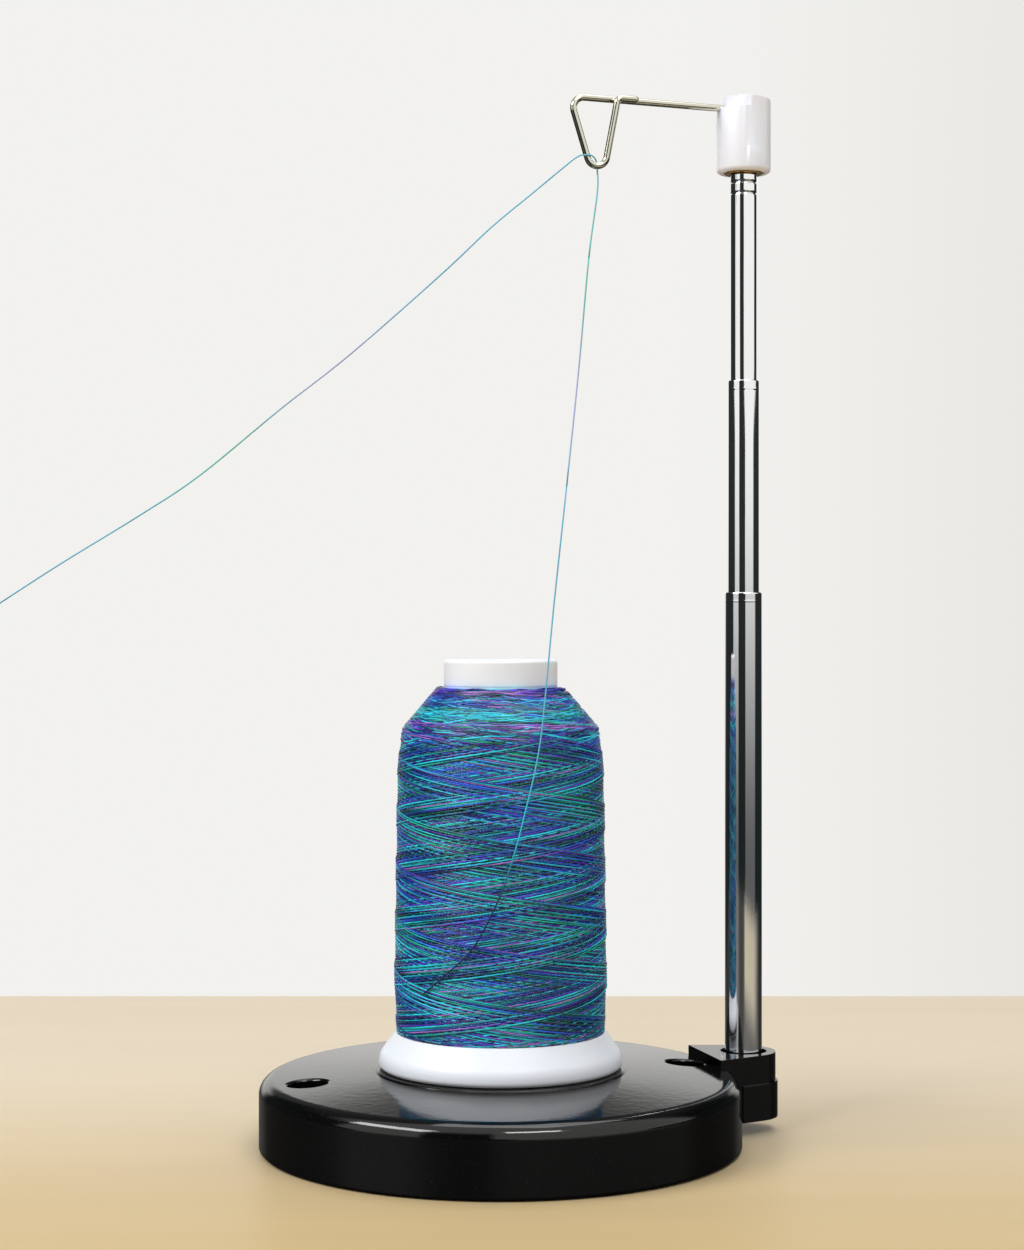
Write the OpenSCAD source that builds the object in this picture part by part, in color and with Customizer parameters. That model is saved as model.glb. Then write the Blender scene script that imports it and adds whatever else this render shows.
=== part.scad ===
// Single-cone thread stand: a weighted round base that carries a large spool
// of thread, and a telescoping side mast with a swivelling wire guide.
// The origin is the middle of the base on the table, Z is up, and the mast
// stands on the +X side. Everything is in millimetres.

/* [Base] */
// Diameter of the round base
base_d = 127; // [120:1:135]
// Height of the base at its rim
rim_h = 18.5; // [17.5:0.5:20]
// Height of the flat middle of the deck, on which the spool stands
deck_h = 20.7; // [20:0.1:22]
// Diameter of the flat middle of the deck
land_d = 65; // [64.5:0.5:70]
// Radius of the rounded rim
shoulder_r = 4; // [3:0.5:5]
// Thickness of the moulded shell
shell_wall = 2.5; // [2:0.1:2.8]
// Diameter of the steel weight
weight_d = 88; // [70:1:88]
// Thickness of the steel weight
weight_h = 11; // [6:0.5:11]
// Diameter of the two screw wells in the deck
well_d = 10.5; // [8:0.5:11]
// Distance of a screw well from the middle
well_x = 51.8; // [51.5:0.1:52.5]

/* [Spindle] */
// Diameter of the collar that centres the spool
collar_d = 25.84; // [20:0.02:26]
// Height of the spindle's tip above the table
spindle_top = 84; // [60:1:110]

/* [Mast] */
// Distance of the mast from the middle of the base
mast_x = 68.7; // [68.5:0.1:71]
// Diameter of the lower tube
lower_d = 10; // [9.6:0.1:10.4]
// Diameter of the middle tube
mid_d = 8.5; // [8.3:0.1:8.6]
// Diameter of the top tube
top_d = 7.2; // [7:0.1:7.3]
// Height of the lower tube's lip
lower_lip_z = 146; // [140:1:150]
// Height of the middle tube's lip, part way out as photographed
mid_lip_z = 203.5; // [200:0.5:206]
// Height of the top tube's end, part way out as photographed
top_end_z = 259.5; // [257:0.5:261]

/* [Thread guide] */
// Diameter of the swivel cap
cap_d = 14.8; // [13:0.2:16]
// Height of the swivel cap
cap_h = 20.2; // [19:0.2:24]
// Diameter of the guide wire
wire_d = 1.8; // [1.4:0.1:2]
// Reach of the guide wire from the mast's axis
arm_reach = 51.8; // [46:0.1:54]
// Depth of the wire loop below the arm
loop_drop = 17.7; // [16:0.1:19]
// Turn of the arm from the line to the spool's axis, in degrees
arm_turn = 4; // [-10:1:10]

/* [Spool] */
// Diameter of the spool's foot
flange_d = 64.2; // [60:0.2:65]
// Diameter of the spool's neck
neck_d = 30; // [28:0.5:31]
// Height of the spool above the deck
spool_h = 107.2; // [100:0.2:110]
// Widest diameter of the wound thread
package_d = 56.4; // [50:0.2:57]
// Thickness of the outer layer of wound thread
layer_t = 0.8; // [0.6:0.1:1.2]
// Diameter of the loose thread
thread_d = 0.4; // [0.3:0.1:0.5]

/* [Hidden] */
$fn = 72;
eps = 0.01;

// Base heights and radii
base_r = base_d / 2;
shell_z = 0.4;
foot_round = 0.7;
pad_h = 1.2;
pad_inset = 1.5;
plate_h = 2.8;
plate_top = pad_h + plate_h;
plate_r = base_r - shell_wall - 0.2;
weight_top = plate_top + weight_h;
well_floor = 8;
well_floor_h = 2.2;
well_wall = 1.6;
// Low step from the flat middle of the deck down to its slope
land_edge_r = 1;
land_step = 0.5;
slope_start = land_d / 2 + land_edge_r * sin(60);
deck_slope = atan((deck_h - land_step - rim_h) / (base_r - shoulder_r - slope_start));
m3_d = 3;
m3_head_d = 5.6;
m3_head_h = 2;
boss_d = 7;

// Spindle
bolt_d = 6;
bolt_head_d = 11.5;
bolt_head_h = 1.8;
bolt_top = 52;
washer_d = 16;
washer_h = 0.8;
bolt_well_d = 17;
collar_h = 4.5;
post_d = 13;
post_tip_d = 9.6;
rib_t = 1.6;
rib_count = 4;

// Bracket
bracket_top = 21.4;
bracket_bottom = 3.9;
bracket_inner_x = 57.4;
bracket_half_w = 12.4;
socket_r = 8.7;
tube_foot_z = 15;
plug_d = 7;
plug_foot_z = 6;
collar_top = 13.8;
collar_t = 0.6;
recess_d = 12.5;
recess_h = 1;
bracket_screw_y = 5.6;
bracket_screw_z = 9.5;
bracket_screw_head_x = base_r - shell_wall - 0.7;
bracket_screw_end = mast_x + 4;

// Tubes: wall, lip and running clearance on the radius
tube_wall = 0.5;
lip_h = 2.5;
lip_chamfer = 0.35;
run_gap = 0.05;
lower_bore = lower_d - 2 * tube_wall;
mid_bore = mid_d - 2 * tube_wall;
top_bore = top_d - 2 * tube_wall;
mid_foot_z = mid_lip_z - 121;
top_foot_z = top_end_z - 119;
sleeve_h = 9.5;
sleeve_lift = 0.5;
crimp_depth = 0.3;
crimp_below_end = [2.3, 5.3];

// Swivel cap
cap_bottom = top_end_z + 0.3;
cap_top = cap_bottom + cap_h;
cap_round = 1.1;
cap_recess_d = 11;
cap_recess_h = 1.2;
bush_d = 9.6;
bush_h = 1.2;
pin_d = 5;
pin_top = top_end_z + 14.5;
cap_flat_z = cap_bottom + 6.3;
cap_flat_depth = 0.6;
cap_flat_angle = 95;
arm_z = cap_top - 3;
arm_step = 1.7;

// Spool
spool_z = deck_h + 0.1;
spool_top = spool_z + spool_h;
hub_bore_d = 26;
hub_bore_h = 5.4;
core_bore_d = 25;
top_hole_d = 13;
top_plate_h = 3;
package_bottom = 30.4;
package_top = 121;
shoulder_z = 110.2;
draw_in_z = 95;
belly_z = 46;
lean_inset = 0.9;
draw_inset = 1.35;
foot_inset = 0.65;
package_top_r = 16.75;
skin_gap = 0.1;

// Unit vector along v
function unit(v) = v / norm(v);

// Point at t on the arc of radius r that rounds the corner c between the
// directions back and on
function bend_point(c, back, on, r, t) =
    let (half = acos(back * on) / 2,
        middle = c + unit(back + on) * r / sin(half),
        from = c + back * r / tan(half) - middle,
        to = c + on * r / tan(half) - middle,
        sweep = 180 - 2 * half)
    middle + (sin((1 - t) * sweep) * from + sin(t * sweep) * to) / sin(sweep);

// Point at t between p1 and p2 on a smooth curve through four points
function curve_point(p0, p1, p2, p3, t) =
    p1 + 0.5 * t * (p2 - p0 + t * (2 * p0 - 5 * p1 + 4 * p2 - p3
    + t * (3 * (p1 - p2) + p3 - p0)));

// Points of a smooth curve through the list p, n to each stretch
function smooth_path(p, n) = concat(
    [for (i = [0:len(p) - 2], k = [0:n - 1])
        curve_point(p[max(i - 1, 0)], p[i], p[i + 1],
            p[min(i + 2, len(p) - 1)], k / n)],
    [p[len(p) - 1]]);

// Direction of the path at point i
function heading(path, i) =
    unit(path[min(i + 1, len(path) - 1)] - path[max(i - 1, 0)]);

// Heading and side vector at every point, the side carried on without twist
function carried_frames(path, side) = [
    for (i = 0, t = heading(path, 0), s = unit(side - (side * t) * t);
        i < len(path);
        i = i + 1,
        t = heading(path, min(i, len(path) - 1)),
        s = unit(s - (s * t) * t))
    [t, s]];

// Corners of a round section of n sides at point p
function section(p, frame, r, n) = [
    for (k = [0:n - 1])
        let (a = 360 * k / n, s = frame[1], u = cross(frame[0], s))
        p + r * (cos(a) * s + sin(a) * u)];

// One closed tube through a list of sections of n corners each
module tube_of(rings, n) {
    m = len(rings);
    sides = [for (i = [0:m - 2], k = [0:n - 1])
        let (a = i * n + k, b = i * n + (k + 1) % n)
        each [[a, b, b + n], [a, b + n, a + n]]];
    first_end = [for (k = [1:n - 2]) [0, k + 1, k]];
    last_end = [for (k = [1:n - 2]) [(m - 1) * n, (m - 1) * n + k, (m - 1) * n + k + 1]];
    // The sides run round each section clockwise seen from outside
    faces = [for (f = concat(sides, first_end, last_end)) [f[2], f[1], f[0]]];
    polyhedron(points = [for (r = rings) each r], faces = faces);
}

// A ring of square section about Z
module ring(d_out, d_in, h) {
    difference() {
        cylinder(d = d_out, h = h);
        translate([0, 0, -eps]) cylinder(d = d_in, h = h + 2 * eps);
    }
}

// Outline of the deck and rim from the flat middle to the side, drawn in by inset
function deck_edge(inset) = concat(
    inset > 0
        ? [[land_d / 2 - inset * tan(deck_slope / 2), deck_h - inset]]
        : [for (a = [90:-10:30])
            [land_d / 2 + land_edge_r * cos(a), deck_h - land_edge_r * (1 - sin(a))]],
    [for (a = [90 - deck_slope:-(90 - deck_slope) / 8:0.001])
        [base_r - shoulder_r + (shoulder_r - inset) * cos(a),
         rim_h - shoulder_r + (shoulder_r - inset) * sin(a)]],
    [[base_r - inset, rim_h - shoulder_r]]);

// Outline of the whole base, with its lower edge rounded
function base_outline() = concat(
    [[0, shell_z], [0, deck_h]],
    deck_edge(0),
    [for (a = [0:-15:-90])
        [base_r - foot_round + foot_round * cos(a),
         shell_z + foot_round + foot_round * sin(a)]]);

module at_wells() {
    for (side = [-1, 1]) translate([side * well_x, 0, 0]) children();
}

module base_shell() {
    color([0.03, 0.03, 0.035])
    difference() {
        union() {
            rotate_extrude() difference() {
                polygon(base_outline());
                polygon(concat([[0, -1], [0, deck_h - shell_wall]],
                    deck_edge(shell_wall), [[base_r - shell_wall, -1]]));
            }
            // Ring that presses on the weight
            translate([0, 0, weight_top])
                cylinder(d = 22, h = deck_h - shell_wall - weight_top + 1);
            at_wells() translate([0, 0, well_floor])
                cylinder(d = well_d + 2 * well_wall, h = rim_h - well_floor - 1);
        }
        cylinder(d = bolt_d, h = deck_h + 1);
        at_wells() {
            translate([0, 0, well_floor + well_floor_h]) cylinder(d = well_d, h = rim_h);
            translate([0, 0, well_floor - 1]) cylinder(d = m3_d, h = well_floor_h + 2);
        }
        for (side = [-1, 1])
            translate([base_r - shell_wall - 2, side * bracket_screw_y, bracket_screw_z])
                rotate([0, 90, 0]) cylinder(d = m3_d, h = shell_wall + 4);
    }
}

module base_weight() {
    color([0.42, 0.43, 0.45])
    translate([0, 0, plate_top]) ring(weight_d, bolt_d, weight_h);
}

module base_plate() {
    color([0.05, 0.05, 0.055])
    difference() {
        union() {
            translate([0, 0, pad_h]) cylinder(r = plate_r, h = plate_h);
            at_wells() translate([0, 0, plate_top - eps])
                cylinder(d = boss_d, h = well_floor - plate_top + eps);
        }
        cylinder(d = bolt_well_d, h = 10);
        at_wells() translate([0, 0, plate_top - 1]) cylinder(d = m3_d, h = 10);
    }
}

module base_pad() {
    color([0.12, 0.12, 0.12]) cylinder(r = plate_r - pad_inset, h = pad_h);
}

module screw(d, h, head_d, head_h) {
    cylinder(d = d, h = h);
    translate([0, 0, h]) cylinder(d = head_d, h = head_h);
}

module cross_recess(size, depth) {
    for (turn = [0, 90]) rotate([0, 0, turn])
        cube([size, size / 4, 2 * depth], center = true);
}

module deck_screws() {
    head_z = well_floor + well_floor_h;
    color([0.62, 0.63, 0.65])
    at_wells() difference() {
        translate([0, 0, plate_top - 1])
            screw(m3_d, head_z - plate_top + 1, m3_head_d, m3_head_h);
        translate([0, 0, head_z + m3_head_h]) cross_recess(3.4, 1);
    }
}

module spindle() {
    shank_z = deck_h + collar_h;
    color([0.05, 0.05, 0.055])
    difference() {
        union() {
            translate([0, 0, deck_h]) cylinder(d = collar_d, h = collar_h);
            translate([0, 0, shank_z - eps]) rotate_extrude()
                polygon(concat([[0, 0], [post_d / 2, 0]],
                    [for (a = [0:10:90])
                        [post_tip_d / 2 * cos(a),
                         spindle_top - shank_z - post_tip_d / 2 * (1 - sin(a))]]));
            for (k = [0:rib_count - 1]) rotate([0, 0, 45 + k * 360 / rib_count])
                translate([0, rib_t / 2, shank_z - eps]) rotate([90, 0, 0])
                    linear_extrude(rib_t)
                    polygon([[0, 0], [collar_d / 2 - 1.4, 0], [collar_d / 2 - 1.4, 6], [0, 44]]);
        }
        translate([0, 0, deck_h - eps]) cylinder(d = bolt_d, h = bolt_top - deck_h + eps);
    }
}

module spindle_bolt() {
    head_z = plate_top - washer_h - bolt_head_h;
    color([0.6, 0.61, 0.63])
    difference() {
        translate([0, 0, head_z]) union() {
            cylinder(d = bolt_head_d, h = bolt_head_h, $fn = 6);
            cylinder(d = bolt_d, h = bolt_top - head_z);
        }
        translate([0, 0, head_z]) cross_recess(5, 0.8);
    }
}

module spindle_washer() {
    color([0.7, 0.71, 0.72])
    translate([0, 0, plate_top - washer_h]) ring(washer_d, bolt_d, washer_h);
}

// Angle on the socket at which the bracket's straight sides run into it
bracket_reach = mast_x - bracket_inner_x;
meet = atan2(bracket_half_w, -bracket_reach)
    - acos(socket_r / norm([bracket_reach, bracket_half_w]));

// Plan of the bracket: a wide inner edge that runs tangent into the round socket
module bracket_plan(grow = 0) {
    polygon(concat(
        [for (side = [1, -1])
            [bracket_inner_x, side * bracket_half_w] + grow * [cos(meet), side * sin(meet)]],
        [for (i = [-15:15])
            [mast_x + (socket_r + grow) * cos(meet * i / 15),
             (socket_r + grow) * sin(meet * i / 15)]]));
}

module mast_bracket() {
    color([0.03, 0.03, 0.035])
    difference() {
        translate([0, 0, bracket_bottom])
            linear_extrude(bracket_top - bracket_bottom) bracket_plan();
        // The base itself, so that the bracket sits on the rim without a gap
        rotate_extrude() polygon(concat([[0, -1], [0, deck_h]], deck_edge(0),
            [[base_r, -1]]));
        translate([mast_x, 0, 0]) {
            translate([0, 0, tube_foot_z]) cylinder(d = lower_d, h = bracket_top);
            translate([0, 0, bracket_top - recess_h]) cylinder(d = recess_d, h = bracket_top);
            cylinder(d = plug_d, h = bracket_top);
        }
        for (side = [-1, 1])
            translate([base_r - 1, side * bracket_screw_y, bracket_screw_z])
                rotate([0, 90, 0]) cylinder(d = m3_d, h = bracket_screw_end - base_r + 1);
    }
}

// Wraps the lower half of the bracket, open on the base's side
module bracket_collar() {
    color([0.04, 0.04, 0.045])
    difference() {
        translate([0, 0, bracket_bottom]) linear_extrude(collar_top - bracket_bottom)
            difference() {
                bracket_plan(collar_t);
                bracket_plan();
            }
        translate([0, -50, -1]) cube([base_r + 0.8, 100, 50]);
    }
}

module bracket_screws() {
    color([0.62, 0.63, 0.65])
    for (side = [-1, 1])
        translate([bracket_screw_end, side * bracket_screw_y, bracket_screw_z])
            rotate([0, -90, 0]) difference() {
                screw(m3_d, bracket_screw_end - bracket_screw_head_x, m3_head_d, m3_head_h);
                translate([0, 0, bracket_screw_end - bracket_screw_head_x + m3_head_h])
                    cross_recess(3.4, 1);
            }
}

// A thin tube with its lip drawn in and its top edge broken
module drawn_tube(d, z0, z1, lip_bore) {
    translate([0, 0, z0]) difference() {
        union() {
            cylinder(d = d, h = z1 - z0 - lip_chamfer);
            translate([0, 0, z1 - z0 - lip_chamfer])
                cylinder(d1 = d, d2 = d - 2 * lip_chamfer, h = lip_chamfer);
        }
        translate([0, 0, -eps])
            cylinder(d = d - 2 * tube_wall, h = z1 - z0 - lip_h + eps);
        translate([0, 0, z1 - z0 - lip_h - eps]) cylinder(d = lip_bore, h = lip_h + 1);
    }
}

module lower_tube() {
    color([0.8, 0.8, 0.82])
    translate([mast_x, 0, 0])
        drawn_tube(lower_d, tube_foot_z, lower_lip_z, mid_d + 2 * run_gap);
}

module mast_plug() {
    color([0.72, 0.58, 0.32])
    translate([mast_x, 0, 0]) difference() {
        union() {
            translate([0, 0, plug_foot_z])
                cylinder(d = plug_d, h = tube_foot_z - plug_foot_z + eps);
            translate([0, 0, tube_foot_z]) cylinder(d = lower_bore, h = 10);
        }
        cylinder(d = m3_d, h = tube_foot_z + 4);
    }
}

module mast_screw() {
    color([0.62, 0.63, 0.65])
    translate([mast_x, 0, plug_foot_z]) difference() {
        union() {
            cylinder(d = m3_d, h = 11);
            translate([0, 0, -2]) cylinder(d = 6, h = 2);
        }
        translate([0, 0, -2]) cross_recess(3.4, 1);
    }
}

module mid_tube() {
    color([0.8, 0.8, 0.82])
    translate([mast_x, 0, 0])
        drawn_tube(mid_d, mid_foot_z, mid_lip_z, top_d + 2 * run_gap);
}

// Split spring sleeve round the foot of a tube, which rubs in the next tube out
module friction_sleeve(d_in, bore, z) {
    translate([0, 0, z]) difference() {
        ring(bore - 2 * run_gap, d_in, sleeve_h);
        translate([d_in / 4, -0.4, -1]) cube([bore, 0.8, sleeve_h + 2]);
    }
}

module mid_friction_sleeve() {
    color([0.78, 0.64, 0.36])
    translate([mast_x, 0, 0])
        friction_sleeve(mid_d, lower_bore, mid_foot_z + sleeve_lift);
}

module top_tube() {
    color([0.82, 0.82, 0.84])
    translate([mast_x, 0, 0]) difference() {
        translate([0, 0, top_foot_z])
            ring(top_d, top_bore, top_end_z - top_foot_z);
        for (drop = crimp_below_end)
            translate([0, 0, top_end_z - drop]) rotate_extrude()
                translate([top_d / 2 + 0.2, 0]) circle(r = 0.2 + crimp_depth, $fn = 24);
    }
}

module top_friction_sleeve() {
    color([0.78, 0.64, 0.36])
    translate([mast_x, 0, 0])
        friction_sleeve(top_d, mid_bore, top_foot_z + sleeve_lift);
}

module cap_pivot() {
    color([0.7, 0.71, 0.72])
    translate([mast_x, 0, 0]) {
        translate([0, 0, top_end_z - 8]) cylinder(d = top_bore, h = 8);
        translate([0, 0, top_end_z - eps]) cylinder(d = pin_d, h = pin_top - top_end_z + eps);
    }
}

module tip_bush() {
    color([0.8, 0.62, 0.28])
    translate([mast_x, 0, top_end_z]) ring(bush_d, pin_d, bush_h);
}

// Cap outline from the axis, with both edges rounded
function cap_outline() = concat(
    [[0, cap_bottom]],
    [for (a = [-90:15:0])
        [cap_d / 2 - cap_round + cap_round * cos(a),
         cap_bottom + cap_round + cap_round * sin(a)]],
    [for (a = [0:15:90])
        [cap_d / 2 - cap_round + cap_round * cos(a),
         cap_top - cap_round + cap_round * sin(a)]],
    [[0, cap_top]]);

// Places its children on the mast's axis with +X along the guide arm
module on_arm() {
    translate([mast_x, 0, 0]) rotate([0, 0, 180 + arm_turn]) children();
}

module guide_cap() {
    color([0.93, 0.94, 0.97])
    on_arm() difference() {
        rotate_extrude() polygon(cap_outline());
        // Recess that hides the bush, and the bore that turns on the pin
        translate([0, 0, cap_bottom - 1]) cylinder(d = cap_recess_d, h = cap_recess_h + 1);
        cylinder(d = pin_d + 2 * run_gap, h = pin_top + 0.4);
        // Above the arm the cap is set back from it
        translate([0, 0, arm_z]) difference() {
            cylinder(d = 2 * cap_d, h = cap_h);
            translate([-arm_step, 0, -1]) cylinder(d = cap_d, h = cap_h + 2);
        }
        translate([pin_d / 2 + 0.8, 0, arm_z]) rotate([0, 90, 0])
            cylinder(d = wire_d, h = cap_d);
        for (side = [-1, 1]) rotate([0, 0, side * cap_flat_angle])
            translate([cap_d / 2 - cap_flat_depth, -cap_d, cap_flat_z])
                cube([cap_d, 2 * cap_d, cap_h]);
    }
}

// Guide wire in the arm's own frame: along the arm, across it, and up
wire_corner_r = 3;
wire_apex_r = 2.7;
wire_lap_r = 1.5;
leg_lean = 13.7;
leg_run_out = 8.5;
leg_run_back = 4.6;
leg_h = loop_drop + wire_apex_r / sin(leg_lean) - wire_apex_r;
wire_lap = [0, wire_d + 0.05, 0.1];
wire_start = pin_d / 2 + 0.8;
corner_u = arm_reach - wire_d / 2;
apex_u = corner_u - leg_run_out;
lap_u = apex_u - leg_run_back;
wire_end = lap_u - 5.5;
wire_corners = [
    [wire_start, 0, arm_z],
    [corner_u, 0, arm_z],
    [apex_u, 0, arm_z - leg_h],
    [lap_u, 0, arm_z] + wire_lap,
    [wire_end, 0, arm_z] + wire_lap];
wire_bends = [0, wire_corner_r, wire_apex_r, wire_lap_r, 0];
bend_steps = 10;

// The wire's line: straight stretches joined by round bends at the corners
wire_path = concat([wire_corners[0]],
    [for (i = [1:len(wire_corners) - 2], k = [0:bend_steps])
        let (c = wire_corners[i],
            back = unit(wire_corners[i - 1] - c),
            on = unit(wire_corners[i + 1] - c))
        bend_point(c, back, on, wire_bends[i], k / bend_steps)],
    [wire_corners[len(wire_corners) - 1]]);

module guide_wire() {
    sides = 12;
    frames = carried_frames(wire_path, [0, 1, 0]);
    color([0.75, 0.74, 0.7])
    on_arm() tube_of([for (i = [0:len(wire_path) - 1])
        section(wire_path[i], frames[i], wire_d / 2, sides)], sides);
}

module spool_core() {
    foot_r = flange_d / 2;
    roll_r = 2;
    foot_edge_r = 1;
    hub_r = neck_d / 2 - 0.2;
    neck_round = 0.8;
    color([0.95, 0.95, 0.96])
    rotate_extrude() difference() {
        polygon(concat(
            [[0, spool_z]],
            [for (a = [-90:15:-15])
                [foot_r - foot_edge_r + foot_edge_r * cos(a),
                 spool_z + foot_edge_r + foot_edge_r * sin(a)]],
            // Rolled edge of the foot, which runs on into its cone
            [for (a = [0:9:36])
                [foot_r - roll_r + roll_r * cos(a), spool_z + 2.8 + roll_r * sin(a)]],
            [[foot_r - 4.4, package_bottom - 0.2], [hub_r, package_bottom - 0.2],
             [hub_r, package_top], [neck_d / 2, package_top + 0.3]],
            [for (a = [0:30:90])
                [neck_d / 2 - neck_round + neck_round * cos(a),
                 spool_top - neck_round + neck_round * sin(a)]],
            [[0, spool_top]]));
        // Bore: locating step, long hollow, and the hole in the top
        translate([-1, spool_z - 1]) square([hub_bore_d / 2 + 1, hub_bore_h + 1]);
        translate([-1, spool_z]) square([core_bore_d / 2 + 1, spool_h - top_plate_h]);
        translate([-1, spool_z]) square([top_hole_d / 2 + 1, spool_h + 1]);
        // Hollow under the foot
        translate([hub_r, spool_z - 1]) square([foot_r - hub_r - 6, 4]);
    }
}

// Radius of the wound thread at height z
function package_r(z) = z > shoulder_z
    ? package_top_r + (package_d / 2 - lean_inset - draw_inset - package_top_r)
        * (package_top - z) / (package_top - shoulder_z)
    : package_d / 2 - (z > belly_z
        ? lean_inset * (z - belly_z) / (shoulder_z - belly_z)
            + draw_inset * pow(max(0, z - draw_in_z) / (shoulder_z - draw_in_z), 2)
        : foot_inset * pow((belly_z - z) / (belly_z - package_bottom), 2));

// Outline of the wound thread from foot to shoulder, drawn in by inset
function winding_outline(inset, steps = 24) =
    [for (i = [0:steps])
        let (z = package_bottom + i / steps * (package_top - package_bottom))
        [package_r(z) - inset, z]];

function reversed(list) = [for (i = [len(list) - 1:-1:0]) list[i]];

module thread_package() {
    color([0.16, 0.42, 0.62])
    rotate_extrude() polygon(concat(
        [[neck_d / 2 - 0.2, package_bottom]],
        winding_outline(layer_t + skin_gap),
        [[neck_d / 2 - 0.2, package_top]]));
}

// Outer layer, a plain sleeve round the rest of the winding
module thread_outer_turns() {
    color([0.10, 0.62, 0.66])
    rotate_extrude() polygon(concat(
        winding_outline(0), reversed(winding_outline(layer_t))));
}

// Route of the loose thread, from where it leaves the winding, up to the
// loop, through it, and away to the side
route = [
    [-24.6, -14.5, 43], [-20, -20.4, 48.8], [-14.8, -24.4, 55],
    [-10.6, -26.5, 63], [-7.2, -27.5, 71], [-4, -28.05, 81], [-1.6, -28.1, 90],
    [0.5, -27.9, 98], [2.6, -27, 107],
    [4.5, -25.2, 118], [7.8, -21.8, 141], [12.8, -17.2, 173],
    [17.9, -11.6, 204], [22.4, -6.3, 234],
    [25.8, -3.2, 252], [26.2, -1.8, 258.4], [25.7, -2.3, 260.7], [23.9, -4.2, 261.5],
    [22.1, -4.6, 261.5], [19.8, -4.5, 260.9], [14.6, -5.6, 256.8],
    [6.8, -5.4, 250.2], [-3.6, -3.4, 241.3], [-16.5, -1, 228.8],
    [-39.8, 3.2, 207.7], [-57.7, 6.3, 193.2], [-78.1, 9.8, 175.9],
    [-93.4, 12.5, 165.4], [-113.6, 15.9, 152.6], [-131.8, 18.9, 140.4]];
route_steps = 2;
thread_sides = 8;
thread_path = smooth_path(route, route_steps);
thread_frames = carried_frames(thread_path, [0, 1, 0]);
knot_d = 1.6;

// Route points at which one stretch of thread ends and the next begins
cuts = [0, 8, 11, 13, 16, len(route) - 1];

module thread_run(k) {
    color([0.25, 0.62, 0.78])
    tube_of([for (i = [cuts[k] * route_steps:cuts[k + 1] * route_steps])
        section(thread_path[i], thread_frames[i], thread_d / 2, thread_sides)],
        thread_sides);
}

module thread_spool_run() { thread_run(0); }
module thread_lower_run() { thread_run(1); }
module thread_middle_run() { thread_run(2); }
module thread_upper_run() { thread_run(3); }
module thread_out_run() { thread_run(4); }

module thread_end_knot() {
    last = len(thread_path) - 1;
    color([0.25, 0.62, 0.78])
    translate(thread_path[last] + heading(thread_path, last) * knot_d / 2)
        sphere(d = knot_d, $fn = 24);
}

base_shell();
base_weight();
base_plate();
base_pad();
deck_screws();
spindle();
spindle_bolt();
spindle_washer();
mast_bracket();
bracket_collar();
bracket_screws();
lower_tube();
mast_plug();
mast_screw();
mid_tube();
mid_friction_sleeve();
top_tube();
top_friction_sleeve();
cap_pivot();
tip_bush();
guide_cap();
guide_wire();
spool_core();
thread_package();
thread_outer_turns();
thread_spool_run();
thread_lower_run();
thread_middle_run();
thread_upper_run();
thread_out_run();
thread_end_knot();
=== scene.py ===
"""Dresses a single-cone thread stand: a weighted black base, a telescoping
chrome mast with a swivelling wire guide, and a large spool of space-dyed
thread whose loose end runs up through the guide. Lengths are in metres."""
import math

import bmesh
import bpy
import numpy as np
from bpy.props import FloatProperty, FloatVectorProperty, IntProperty, PointerProperty
from bpy.types import Operator, Panel, PropertyGroup
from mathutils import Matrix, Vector


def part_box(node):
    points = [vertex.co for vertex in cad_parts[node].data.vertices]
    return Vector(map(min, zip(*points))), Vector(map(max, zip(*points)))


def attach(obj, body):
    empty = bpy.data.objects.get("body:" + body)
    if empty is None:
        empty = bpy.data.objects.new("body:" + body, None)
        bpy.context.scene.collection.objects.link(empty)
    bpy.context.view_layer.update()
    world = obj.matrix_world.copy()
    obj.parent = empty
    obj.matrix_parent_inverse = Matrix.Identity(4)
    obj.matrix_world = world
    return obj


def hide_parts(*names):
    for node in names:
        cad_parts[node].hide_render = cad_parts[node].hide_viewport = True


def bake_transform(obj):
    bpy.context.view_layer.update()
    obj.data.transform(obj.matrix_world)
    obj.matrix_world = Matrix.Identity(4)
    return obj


bl_info = {
    "name": "Single-cone thread stand",
    "version": (1, 0, 0),
    "blender": (4, 5, 0),
    "location": "View3D > Sidebar > Thread Stand",
    "description": "Builds the dressed pieces of a thread stand with a telescoping mast",
    "category": "Object",
}

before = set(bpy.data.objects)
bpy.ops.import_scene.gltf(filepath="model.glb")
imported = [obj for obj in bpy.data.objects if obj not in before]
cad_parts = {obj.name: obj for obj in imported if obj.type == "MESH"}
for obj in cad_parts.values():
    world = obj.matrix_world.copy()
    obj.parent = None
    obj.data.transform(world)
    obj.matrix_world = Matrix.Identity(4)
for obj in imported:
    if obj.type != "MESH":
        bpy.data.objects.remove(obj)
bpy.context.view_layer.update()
MM = 0.001
DEGREES = 180 / math.pi
GOLDEN = 0.618034  # the share of a whole that spreads steps evenly


def span(node):
    """Lowest and highest corner of a frame node as two arrays."""
    low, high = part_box(node)
    return np.array(low, float), np.array(high, float)


def middle(node):
    """Middle of a frame node's box."""
    low, high = span(node)
    return (low + high) / 2


def width(node):
    """Size of a frame node along X."""
    low, high = span(node)
    return float(high[0] - low[0])


MAST_X = float(middle("lower_tube")[0])
ARM_TURN = math.radians(184)  # of the wire guide's arm, from +X


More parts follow.
